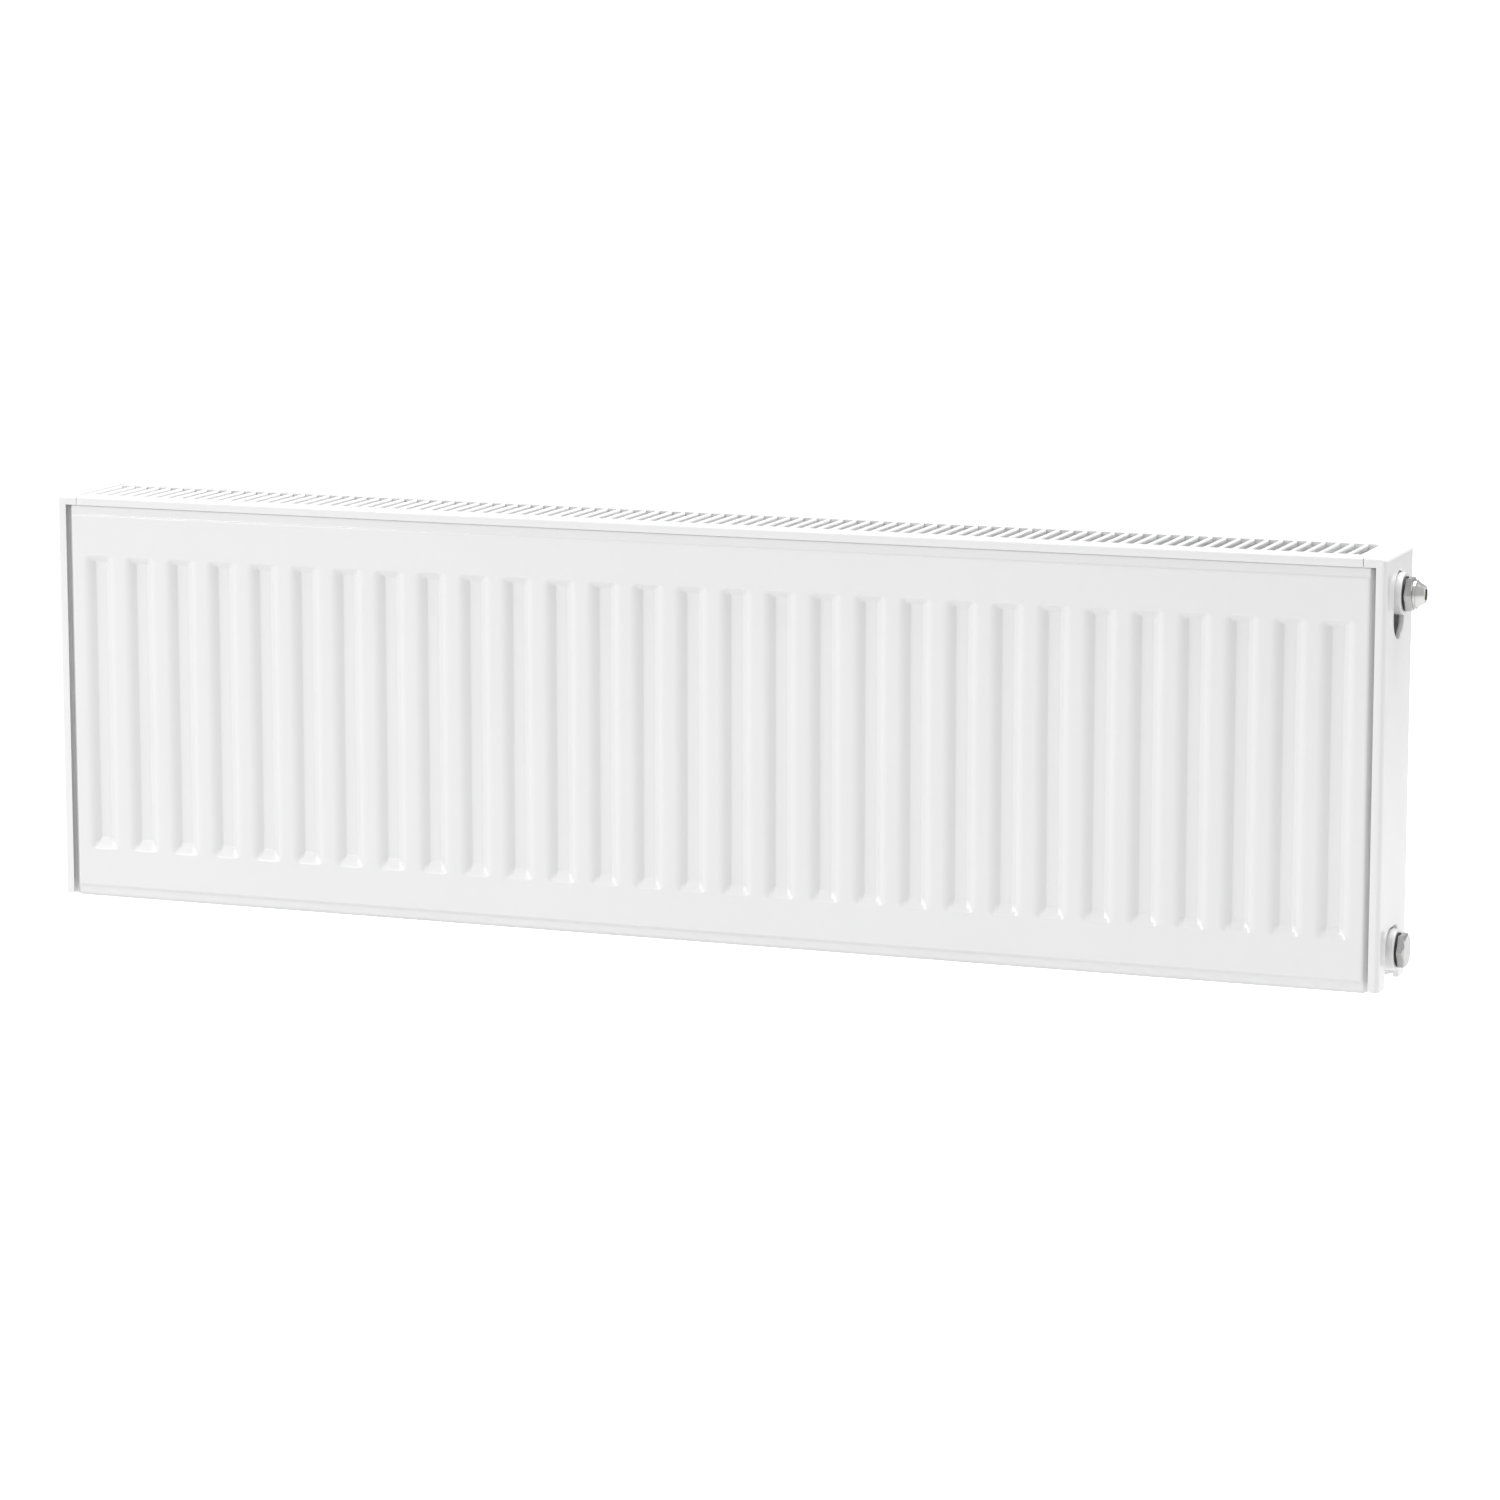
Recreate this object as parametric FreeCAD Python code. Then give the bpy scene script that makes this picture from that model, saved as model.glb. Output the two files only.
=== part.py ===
"""Compact steel panel radiator, type 21: two water panels, one convector, a slotted
top grille, two side covers, and a vent plug and a blank plug at the right-hand end.

Millimetres. The origin is the centre of the four hanging-lug slots, on the plane of
the lugs that faces the wall. +X runs to the right seen from the room, +Y points to
the wall and +Z is up.
"""

import FreeCAD, Part
import math
import os

Vec = FreeCAD.Vector

# overall size
length = 1000.0
height = 300.0
lug_standoff = 12.0
panel_thickness = 11.0
panel_gap = 53.0
cover_overhang_rear = 2.0
cover_overhang_front = 0.8

# sheet thicknesses
panel_sheet = 1.2
cover_sheet = 0.8
fin_sheet = 0.5

# water panel: the pressed chamber and the seam flange round it
chamber_length = 985.2
chamber_side_slope = 6.0
flange_length = 997.0
flange_corner_radius = 5.5
chamber_bottom_rise = 1.5
chamber_foot_radius = 1.5
chamber_top_drop = 5.6
flange_top_drop = 1.1
chamber_corner_radius = 4.0
chamber_edge_radius = 3.0
border_height = 8.4
border_step = 0.6
border_ramp = 1.0
foot_border_height = 5.5
foot_border_step = 1.8
foot_border_ramp = 2.5

# vertical grooves pressed into the panel
groove_count = 29
groove_pitch = 100.0 / 3.0
groove_half_mouth = 13.5
groove_half_floor = 4.0
groove_edge_radius = 10.0
groove_floor_radius = 1.5
groove_bottom_rise = 36.0
groove_top_drop = 43.2
groove_bottom_ramp = 9.0
groove_top_ramp = 6.5
groove_end_edge_radius = 2.0
groove_end_floor_radius = 1.5

# convector between the panels
convector_bottom_rise = 42.0
convector_top_drop = 46.0
convector_depth = 32.0
convector_foot_width = 9.0

# connection tees at the four corners
connection_spacing = 246.0
connection_bottom_rise = 25.0
tee_x = 470.0
tee_tube_radius = 13.0
tee_bore_radius = 8.5
boss_radius = 14.35
boss_end_x = 504.0
thread_minor_radius = 9.3155
thread_length = 14.0
thread_chamfer = 1.0

# top grille
grille_half_length = 483.6
lip_height = 7.2
top_edge_radius = 2.5
slot_count = 96
slot_pitch = 10.0
slot_width = 6.8
slot_front_margin = 10.0
slot_rear_margin = 14.0
bar_flange_height = 5.0

# side covers
cover_flange_width = 16.0
cover_lip_width = 7.4
cover_bottom_rise = 1.5
cover_edge_radius = 3.0
cover_top_radius = 7.0
cover_lift = 15.0
opening_radius = 15.6
lower_opening_half_width = 19.0
lower_opening_corner = 12.0
opening_rim_depth = 3.7

# plugs
hex_across_flats = 22.0
hex_height = 5.0
plug_face_radius = 10.2
o_ring_thickness = 1.6
o_ring_outer_radius = 11.9
o_ring_edge_radius = 0.6
shank_radius = 9.29
shank_length = 12.0
press_clearance = 0.01
running_clearance = 0.05

# vent: spigot on the plug, swivel nozzle and bleed screw
spigot_radius = 4.8
spigot_length = 3.2
snap_ring_radius = 5.2
snap_ring_offset = 1.4
snap_ring_width = 0.8
nozzle_gap = 0.1
nozzle_flange_radius = 10.0
nozzle_flange_thickness = 1.6
nozzle_cone_radius = 9.2
nozzle_tip_radius = 5.8
nozzle_tip_rounding = 0.6
nozzle_length = 7.4
key_hole_radius = 3.9
spout_radius = 1.0
bleed_hole_radius = 0.8
screw_radius = 3.0
screw_square = 5.0
screw_depth = 4.0

# hanging lugs
lug_spacing_x = 2200.0 / 3.0
lug_spacing_z = 180.0
lug_height = 44.0
lug_width = 56.0
lug_foot = 11.0
lug_flare = 3.0
lug_sheet = 2.5
lug_slot_radius = 4.5
lug_slot_length = 24.0

# grille clips
clip_width = 14.0
clip_sheet = 0.6
clip_height = 4.2
clip_x = 300.0

# derived planes
bottom_z = -height / 2
top_z = height / 2
half_length = length / 2
rear_y = -lug_standoff
rear_panel_mid_y = rear_y - panel_thickness / 2
front_panel_mid_y = rear_panel_mid_y - panel_thickness - panel_gap
front_y = front_panel_mid_y - panel_thickness / 2
lip_y = front_y - cover_overhang_front
cover_rear_y = rear_y + cover_overhang_rear
half_panel = panel_thickness / 2
groove_depth = half_panel - panel_sheet
lower_z = bottom_z + connection_bottom_rise
upper_z = lower_z + connection_spacing
tee_y = (front_panel_mid_y + rear_panel_mid_y) / 2
plug_x = boss_end_x + o_ring_thickness


def line(a, b):
    """Straight edge between two points."""
    return Part.makeLine(a, b)


def arc(centre, radius, start, end, place):
    """Arc in a plane, from one angle to another; place turns (u, v) into a point."""
    points = []
    for angle in (start, (start + end) / 2, end):
        u = centre[0] + radius * math.cos(math.radians(angle))
        v = centre[1] + radius * math.sin(math.radians(angle))
        points.append(place(u, v))
    return Part.Arc(points[0], points[1], points[2]).toShape()


def closed_face(edges):
    """Face inside a closed run of edges."""
    wires = Part.sortEdges(edges)
    return Part.Face(Part.Wire(wires[0]))


def polygon_face(points):
    """Face inside a closed polygon."""
    return Part.Face(Part.makePolygon(points + [points[0]]))


def box(x0, x1, y0, y1, z0, z1):
    """Block between two corners."""
    return Part.makeBox(x1 - x0, y1 - y0, z1 - z0, Vec(x0, y0, z0))


def cylinder(radius, x0, x1, y, z):
    """Cylinder along X."""
    return Part.makeCylinder(radius, x1 - x0, Vec(x0, y, z), Vec(1, 0, 0))


def recess_side(run_from, run_to, top, floor, edge_radius, floor_radius, sign, place):
    """Rounded slope from the land at run_from down to the floor at run_to.

    sign is +1 where the slope runs towards greater u. The depth is counted as v.
    """
    depth = floor - top
    run = abs(run_from - run_to)
    radii = edge_radius + floor_radius
    tangent = math.sqrt(run ** 2 + (depth - radii) ** 2 - radii ** 2)
    slope = math.degrees(math.atan2(radii, tangent) + math.atan2(depth - radii, run))
    upper = (run_from, top + edge_radius)
    lower = (run_to, floor - floor_radius)
    sine = math.sin(math.radians(slope))
    cosine = math.cos(math.radians(slope))
    a = (upper[0] + sign * edge_radius * sine, upper[1] - edge_radius * cosine)
    b = (lower[0] - sign * floor_radius * sine, lower[1] + floor_radius * cosine)
    edge_start = -90.0
    edge_end = -90.0 + sign * slope
    floor_start = 90.0
    floor_end = 90.0 + sign * slope
    return [
        arc(upper, edge_radius, edge_start, edge_end, place),
        line(place(a[0], a[1]), place(b[0], b[1])),
        arc(lower, floor_radius, floor_end, floor_start, place),
    ]


def recess_face(left, left_run, right, right_run, top, floor, edge_radius, floor_radius, place):
    """Outline of a pressed recess: a slope at each end and a flat floor."""
    above = top - 1.0
    floor_left = left + left_run
    floor_right = right - right_run
    edges = recess_side(left, floor_left, top, floor, edge_radius, floor_radius, 1, place)
    edges += recess_side(right, floor_right, top, floor, edge_radius, floor_radius, -1, place)
    edges.append(line(place(floor_left, floor), place(floor_right, floor)))
    edges.append(line(place(left, top), place(left, above)))
    edges.append(line(place(left, above), place(right, above)))
    edges.append(line(place(right, above), place(right, top)))
    return closed_face(edges)


def groove_cutter(inset):
    """Solid that presses one groove; inset moves it inward by the sheet thickness."""
    floor = groove_depth + inset
    run = groove_half_mouth - groove_half_floor
    low = bottom_z + groove_bottom_rise
    high = top_z - groove_top_drop
    across = recess_face(-groove_half_mouth, run, groove_half_mouth, run, inset, floor,
                         groove_edge_radius - inset, groove_floor_radius + inset,
                         lambda u, v: Vec(u, v, low - 5.0))
    along = recess_face(low, groove_bottom_ramp, high, groove_top_ramp, inset, floor,
                        groove_end_edge_radius - inset, groove_end_floor_radius + inset,
                        lambda u, v: Vec(-20.0, v, u))
    prism = across.extrude(Vec(0, 0, high - low + 10.0))
    return prism.common(along.extrude(Vec(40.0, 0, 0)))


def rounded_slab(half_width, low, high, radius, y, thickness):
    """Slab in an XZ plane with four rounded corners."""
    slab = box(-half_width, half_width, y, y + thickness, low, high)
    corners = []
    for edge in slab.Edges:
        if abs(edge.Vertexes[0].Point.y - edge.Vertexes[1].Point.y) > thickness / 2:
            corners.append(edge)
    return slab.makeFillet(radius, corners)


def chamber_block(inset):
    """Chamber of one half panel, from its front plane (y = 0) to the seam plane.

    With an inset of one sheet thickness its side slopes end on the seam plane.
    """
    half = chamber_length / 2
    low = bottom_z + chamber_bottom_rise + inset
    high = top_z - chamber_top_drop - inset
    radius = chamber_edge_radius - inset
    foot_radius = chamber_foot_radius + inset
    front = inset
    floor = groove_depth + inset
    back = half_panel
    step = front + border_step
    step_z = high + inset - border_height
    foot_step = front + foot_border_step
    foot_z = low - inset + foot_border_height

    def side(u, v):
        return Vec(-half - 1.0, u, v)

    profile = [
        line(side(back, low), side(foot_step + radius, low)),
        arc((foot_step + radius, low + radius), radius, 270.0, 180.0, side),
        line(side(foot_step, low + radius), side(foot_step, foot_z)),
        line(side(foot_step, foot_z), side(front, foot_z + foot_border_ramp)),
        line(side(front, foot_z + foot_border_ramp), side(front, step_z - border_ramp)),
        line(side(front, step_z - border_ramp), side(step, step_z)),
        line(side(step, step_z), side(step, high - radius)),
        arc((step + radius, high - radius), radius, 180.0, 90.0, side),
        line(side(step + radius, high), side(back, high)),
        line(side(back, high), side(back, low)),
    ]

    def plan(u, v):
        return Vec(u, v, low - 1.0)

    face_half = half - chamber_side_slope
    outline = recess_side(-face_half, -half, front, floor, radius, foot_radius, -1, plan)
    outline += recess_side(face_half, half, front, floor, radius, foot_radius, 1, plan)
    outline += [
        line(plan(-face_half, front), plan(face_half, front)),
        line(plan(half, back), plan(-half, back)),
    ]
    if inset == 0.0:
        outline.append(line(plan(-half, floor), plan(-half, back)))
        outline.append(line(plan(half, floor), plan(half, back)))
    body = closed_face(profile).extrude(Vec(2 * half + 2.0, 0, 0))
    body = body.common(closed_face(outline).extrude(Vec(0, 0, high - low + 2.0)))
    corner_radius = chamber_corner_radius - inset
    return body.common(rounded_slab(half - inset, low, high, corner_radius, 0.0, panel_thickness))


def half_panel_shell():
    """Pressed sheet of one half panel, front plane at y = 0 and seam plane behind it."""
    outer = chamber_block(0.0)
    inner = chamber_block(panel_sheet)
    outer_grooves = []
    inner_grooves = []
    outer_cutter = groove_cutter(0.0)
    inner_cutter = groove_cutter(panel_sheet)
    for index in range(groove_count):
        shift = Vec((index - (groove_count - 1) / 2) * groove_pitch, 0, 0)
        outer_grooves.append(outer_cutter.translated(shift))
        inner_grooves.append(inner_cutter.translated(shift))
    outer = outer.cut(Part.makeCompound(outer_grooves))
    inner = inner.cut(Part.makeCompound(inner_grooves))
    flange = rounded_slab(flange_length / 2, bottom_z, top_z - flange_top_drop,
                          flange_corner_radius, groove_depth, panel_sheet)
    return outer.fuse(flange).cut(inner).removeSplitter()


def mirrored_back(shell):
    """The matching rear half, mirrored about the seam plane."""
    return shell.mirror(Vec(0, half_panel, 0), Vec(0, 1, 0))


def water_passages(y):
    """Drills that open the panel wall at the four tees."""
    drills = []
    for x in (-tee_x, tee_x):
        for z in (lower_z, upper_z):
            drill = Part.makeCylinder(tee_bore_radius, 6.0, Vec(x, y - 3.0, z), Vec(0, 1, 0))
            drills.append(drill)
    return Part.makeCompound(drills)


def convector():
    """Folded fin sheet standing behind the front panel, its feet on the channels."""
    near = front_panel_mid_y + half_panel
    far = near + convector_depth
    half_foot = convector_foot_width / 2
    inner = half_foot - fin_sheet
    low = bottom_z + convector_bottom_rise
    high = top_z - convector_top_drop
    folds = groove_count - 1
    near_side = []
    far_side = []
    for index in range(folds):
        centre = (index - (folds - 1) / 2) * groove_pitch
        if index > 0:
            near_side.append(Vec(centre - half_foot, far - fin_sheet, low))
            far_side.append(Vec(centre - inner, far, low))
        near_side.append(Vec(centre - half_foot, near, low))
        far_side.append(Vec(centre - inner, near + fin_sheet, low))
        near_side.append(Vec(centre + half_foot, near, low))
        far_side.append(Vec(centre + inner, near + fin_sheet, low))
        if index < folds - 1:
            near_side.append(Vec(centre + half_foot, far - fin_sheet, low))
            far_side.append(Vec(centre + inner, far, low))
    first = near_side[0]
    last = near_side[-1]
    far_side[0] = Vec(first.x, near + fin_sheet, low)
    far_side[-1] = Vec(last.x, near + fin_sheet, low)
    return polygon_face(near_side + far_side[::-1]).extrude(Vec(0, 0, high - low))


def tee(side, z):
    """Connection tee: a tube joining the two panels with a threaded boss to the side."""
    near = front_panel_mid_y + half_panel
    far = rear_panel_mid_y - half_panel
    tube = Part.makeCylinder(tee_tube_radius, far - near, Vec(tee_x, near, z), Vec(0, 1, 0))
    boss = cylinder(boss_radius, tee_x, boss_end_x, tee_y, z)
    rim = []
    for edge in boss.Edges:
        if abs(edge.CenterOfMass.x - boss_end_x) < 0.01:
            rim.append(edge)
    boss = boss.makeFillet(0.8, rim)
    body = tube.fuse(boss)
    passage = Part.makeCylinder(tee_bore_radius, far - near, Vec(tee_x, near, z), Vec(0, 1, 0))
    thread_start = boss_end_x - thread_chamfer - thread_length
    neck = cylinder(tee_bore_radius, tee_x, thread_start, tee_y, z)
    thread = cylinder(thread_minor_radius, thread_start, boss_end_x - thread_chamfer, tee_y, z)
    mouth = Part.makeCone(thread_minor_radius, thread_minor_radius + thread_chamfer, thread_chamfer,
                          Vec(boss_end_x - thread_chamfer, tee_y, z), Vec(1, 0, 0))
    body = body.cut(passage.fuse([neck, thread, mouth]))
    if side < 0:
        body.rotate(Vec(0, tee_y, 0), Vec(0, 0, 1), 180)
    return body


def casing_profile(inset, low, x):
    """Front-to-rear section of the top casing, rounded at both upper edges."""
    front = lip_y + inset
    rear = cover_rear_y - inset
    top = top_z - inset
    radius = top_edge_radius - inset

    def place(u, v):
        return Vec(x, u, v)

    return closed_face([
        line(place(front, low), place(front, top - radius)),
        arc((front + radius, top - radius), radius, 180.0, 90.0, place),
        line(place(front + radius, top), place(rear - radius, top)),
        arc((rear - radius, top - radius), radius, 90.0, 0.0, place),
        line(place(rear, top - radius), place(rear, low)),
        line(place(rear, low), place(front, low)),
    ])


def top_grille():
    """Slotted top grille with a front and a rear lip; every slot has a collar folded down."""
    low = top_z - lip_height
    width = 2 * grille_half_length
    outer = casing_profile(0.0, low, -grille_half_length).extrude(Vec(width, 0, 0))
    inner = casing_profile(cover_sheet, low - 1.0, -grille_half_length - 1.0)
    inner = inner.extrude(Vec(width + 2.0, 0, 0))
    slot_front = front_y + slot_front_margin
    slot_rear = cover_rear_y - slot_rear_margin
    half_slot = slot_width / 2
    slots = []
    collars = []
    for index in range(slot_count):
        x = (index - (slot_count - 1) / 2) * slot_pitch
        slots.append(box(x - half_slot, x + half_slot, slot_front, slot_rear, low - 2.0, top_z + 1.0))
        collars.append(box(x - half_slot - cover_sheet, x + half_slot + cover_sheet,
                           slot_front - cover_sheet, slot_rear + cover_sheet,
                           top_z - bar_flange_height, top_z + 1.0))
    inner = inner.cut(Part.makeCompound(collars))
    return outer.cut(inner).cut(Part.makeCompound(slots))


def cover_block(inset, open_end):
    """Rounded block of the right-hand side cover."""
    left = half_length - cover_flange_width - open_end
    right = half_length - inset
    top = top_z - inset
    low = bottom_z + cover_bottom_rise - open_end
    front = lip_y + inset
    rear = cover_rear_y - inset
    top_radius = cover_top_radius - inset
    edge_radius = cover_edge_radius - inset
    body = casing_profile(inset, low, left).extrude(Vec(right - left, 0, 0))

    def end_view(u, v):
        return Vec(u, front - 1.0, v)

    corner = closed_face([
        line(end_view(left, low), end_view(left, top)),
        line(end_view(left, top), end_view(right - top_radius, top)),
        arc((right - top_radius, top - top_radius), top_radius, 90.0, 0.0, end_view),
        line(end_view(right, top - top_radius), end_view(right, low)),
        line(end_view(right, low), end_view(left, low)),
    ]).extrude(Vec(0, rear - front + 2.0, 0))

    def plan(u, v):
        return Vec(u, v, low - 1.0)

    outline = closed_face([
        line(plan(left, front), plan(right - edge_radius, front)),
        arc((right - edge_radius, front + edge_radius), edge_radius, 270.0, 360.0, plan),
        line(plan(right, front + edge_radius), plan(right, rear - edge_radius)),
        arc((right - edge_radius, rear - edge_radius), edge_radius, 0.0, 90.0, plan),
        line(plan(right - edge_radius, rear), plan(left, rear)),
        line(plan(left, rear), plan(left, front)),
    ]).extrude(Vec(0, 0, top - low + 2.0))
    return body.common(corner).common(outline)


def upper_opening(grow, x0, x1):
    """Upright slot round the upper boss, long enough for the cover to be lifted."""
    radius = opening_radius + grow
    low = upper_z - cover_lift
    top_end = cylinder(radius, x0, x1, tee_y, upper_z)
    low_end = cylinder(radius, x0, x1, tee_y, low)
    middle = box(x0, x1, tee_y - radius, tee_y + radius, low, upper_z)
    return top_end.fuse([low_end, middle])


def lower_opening(grow, x0, x1):
    """Notch round the lower boss, open at the bottom, with rounded upper corners."""
    half = lower_opening_half_width + grow
    radius = lower_opening_corner + grow
    high = lower_z + opening_radius + grow
    notch = box(x0, x1, tee_y - half, tee_y + half, bottom_z - 5.0, high)
    corners = []
    for edge in notch.Edges:
        along_x = abs(edge.Vertexes[0].Point.x - edge.Vertexes[1].Point.x) > 0.5
        if along_x and abs(edge.CenterOfMass.z - high) < 0.01:
            corners.append(edge)
    return notch.makeFillet(radius, corners)


def side_cover(side):
    """Side cover: end plate, top flange, front and rear lips and two rimmed openings."""
    outer = cover_block(0.0, 0.0)
    inner = cover_block(cover_sheet, 1.0)
    shell = outer.cut(inner)
    lip_edge = half_length - cover_lip_width
    step_z = top_z - lip_height
    notch = box(half_length - cover_flange_width - 1.0, lip_edge, lip_y - 1.0, cover_rear_y + 1.0,
                bottom_z - 1.0, step_z)
    shell = shell.cut(notch)
    rim_x = half_length - opening_rim_depth
    cover_low = bottom_z + cover_bottom_rise
    upper_rim = upper_opening(cover_sheet, rim_x, half_length)
    lower_rim = lower_opening(cover_sheet, rim_x, half_length)
    lower_rim = lower_rim.cut(box(rim_x - 1.0, half_length + 1.0, lip_y, cover_rear_y,
                                  bottom_z - 10.0, cover_low))
    shell = shell.fuse([upper_rim, lower_rim])
    shell = shell.cut(upper_opening(0.0, rim_x - 1.0, half_length + 1.0))
    shell = shell.cut(lower_opening(0.0, rim_x - 1.0, half_length + 1.0))
    shell = shell.removeSplitter()
    if side < 0:
        shell = shell.mirror(Vec(0, 0, 0), Vec(1, 0, 0))
    return shell


def hexagon(x, z):
    """Hexagonal collar of a plug, corners to the front and rear, chamfered outside."""
    corner_radius = hex_across_flats / math.sqrt(3.0)
    points = []
    for index in range(6):
        angle = math.radians(60.0 * index)
        across = corner_radius * math.cos(angle)
        up = corner_radius * math.sin(angle)
        points.append(Vec(x, tee_y + across, z + up))
    prism = polygon_face(points).extrude(Vec(hex_height, 0, 0))
    envelope_radius = corner_radius + 1.0
    chamfer_height = (envelope_radius - plug_face_radius) * math.tan(math.radians(30.0))
    chamfer_x = x + hex_height - chamfer_height
    envelope = cylinder(envelope_radius, x, chamfer_x, tee_y, z)
    chamfer = Part.makeCone(envelope_radius, plug_face_radius, chamfer_height,
                            Vec(chamfer_x, tee_y, z), Vec(1, 0, 0))
    return prism.common(envelope.fuse(chamfer))


def plug_shank(z):
    """Threaded shank that screws into the tee, up to the hexagon."""
    return cylinder(shank_radius, boss_end_x - shank_length, plug_x, tee_y, z)


def o_ring(z):
    """Pressed O-ring between the boss and the plug's hexagon."""
    ring = cylinder(o_ring_outer_radius, boss_end_x, plug_x, tee_y, z)
    rims = []
    for edge in ring.Edges:
        if edge.Curve.TypeId == "Part::GeomCircle":
            rims.append(edge)
    ring = ring.makeFillet(o_ring_edge_radius, rims)
    hole = cylinder(shank_radius + press_clearance, boss_end_x - 1.0, plug_x + 1.0, tee_y, z)
    return ring.cut(hole)


def blank_plug():
    """Blind plug for the lower connection."""
    return plug_shank(lower_z).fuse(hexagon(plug_x, lower_z)).removeSplitter()


def vent_plug():
    """Plug with a seat for the bleed screw and a spigot that holds the nozzle."""
    body = plug_shank(upper_z).fuse(hexagon(plug_x, upper_z))
    face_x = plug_x + hex_height
    spigot = cylinder(spigot_radius, face_x, face_x + spigot_length, tee_y, upper_z)
    snap_start = face_x + snap_ring_offset
    snap_ring = cylinder(snap_ring_radius, snap_start, snap_start + snap_ring_width, tee_y, upper_z)
    body = body.fuse([spigot, snap_ring])
    seat_radius = screw_radius + running_clearance
    seat = cylinder(seat_radius, plug_x - screw_depth, face_x + spigot_length + 1.0, tee_y, upper_z)
    bleed_hole = cylinder(bleed_hole_radius, boss_end_x - shank_length - 1.0, plug_x, tee_y, upper_z)
    return body.cut(seat.fuse(bleed_hole)).removeSplitter()


def vent_nozzle():
    """Conical swivel nozzle, open at the tip for the key, with a spout hole below."""
    start = plug_x + hex_height + nozzle_gap
    end = start + nozzle_length
    cone_start = start + nozzle_flange_thickness
    base = cylinder(nozzle_flange_radius, start, cone_start, tee_y, upper_z)
    cone = Part.makeCone(nozzle_cone_radius, nozzle_tip_radius, end - cone_start,
                         Vec(cone_start, tee_y, upper_z), Vec(1, 0, 0))
    body = base.fuse(cone)
    tip_rim = []
    for edge in body.Edges:
        if edge.Curve.TypeId == "Part::GeomCircle" and edge.CenterOfMass.x > end - 0.01:
            tip_rim.append(edge)
    body = body.makeFillet(nozzle_tip_rounding, tip_rim)
    snap_start = plug_x + hex_height + snap_ring_offset - nozzle_gap
    snap_end = snap_start + snap_ring_width + 2 * nozzle_gap
    collar_end = plug_x + hex_height + spigot_length + nozzle_gap
    key_hole = cylinder(key_hole_radius, start - 1.0, end + 1.0, tee_y, upper_z)
    collar = cylinder(spigot_radius + running_clearance, start - 1.0, collar_end, tee_y, upper_z)
    snap_groove = cylinder(snap_ring_radius + running_clearance, snap_start, snap_end, tee_y, upper_z)
    spout = Part.makeCylinder(spout_radius, nozzle_flange_radius + 1.0,
                              Vec((collar_end + end) / 2, tee_y, upper_z), Vec(0, 0, -1))
    return body.cut(key_hole.fuse([collar, snap_groove, spout]))


def bleed_screw():
    """Bleed screw with a cone tip and a square head for a 5 mm key."""
    face_x = plug_x + hex_height
    head_start = face_x + spigot_length - 1.0
    head_end = plug_x + hex_height + nozzle_length - 0.8
    stem = cylinder(screw_radius, plug_x - screw_depth + 1.0, head_start, tee_y, upper_z)
    half = screw_square / 2
    head = box(head_start, head_end, tee_y - half, tee_y + half, upper_z - half, upper_z + half)
    round_bar = cylinder(screw_radius, head_start, head_end, tee_y, upper_z)
    tip = Part.makeCone(bleed_hole_radius, screw_radius, 1.0,
                        Vec(plug_x - screw_depth, tee_y, upper_z), Vec(1, 0, 0))
    return stem.fuse([head.common(round_bar), tip]).removeSplitter()


def hanging_lug(x, z):
    """Welded hat-shaped lug with a level slot for the wall bracket's hook."""
    half = lug_width / 2
    inner = half - lug_foot
    crown = inner - lug_flare
    shift = lug_sheet * 0.8
    low = z - lug_height / 2

    def plan(u, v):
        return Vec(x + u, rear_y + v, low)

    section = [
        plan(-half, 0.0),
        plan(-inner, 0.0),
        plan(-crown, lug_standoff - lug_sheet),
        plan(crown, lug_standoff - lug_sheet),
        plan(inner, 0.0),
        plan(half, 0.0),
        plan(half, lug_sheet),
        plan(inner + shift, lug_sheet),
        plan(crown + shift, lug_standoff),
        plan(-crown - shift, lug_standoff),
        plan(-inner - shift, lug_sheet),
        plan(-half, lug_sheet),
    ]
    body = polygon_face(section).extrude(Vec(0, 0, lug_height))
    reach = lug_slot_length / 2 - lug_slot_radius
    slot = box(x - reach, x + reach, -lug_sheet - 1.0, 1.0, z - lug_slot_radius, z + lug_slot_radius)
    ends = []
    for end_x in (x - reach, x + reach):
        ends.append(Part.makeCylinder(lug_slot_radius, lug_sheet + 2.0,
                                      Vec(end_x, -lug_sheet - 1.0, z), Vec(0, 1, 0)))
    return body.cut(slot.fuse(ends))


def grille_clip(x, panel_mid):
    """Spring clip that hangs under the grille and grips a panel's seam flange."""
    inner = panel_sheet + running_clearance
    outer = inner + clip_sheet
    half_width = clip_width / 2
    top = top_z - cover_sheet
    low = top - clip_height
    block = box(x - half_width, x + half_width, panel_mid - outer, panel_mid + outer, low, top)
    flange_top = top_z - flange_top_drop + running_clearance
    gap = box(x - clip_width, x + clip_width, panel_mid - inner, panel_mid + inner, low - 1.0, flange_top)
    return block.cut(gap)


def grille_clips():
    """Four clips, two on each panel."""
    clips = []
    for x in (-clip_x, clip_x):
        for panel_mid in (front_panel_mid_y, rear_panel_mid_y):
            clips.append(grille_clip(x, panel_mid))
    return Part.makeCompound(clips)


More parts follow.
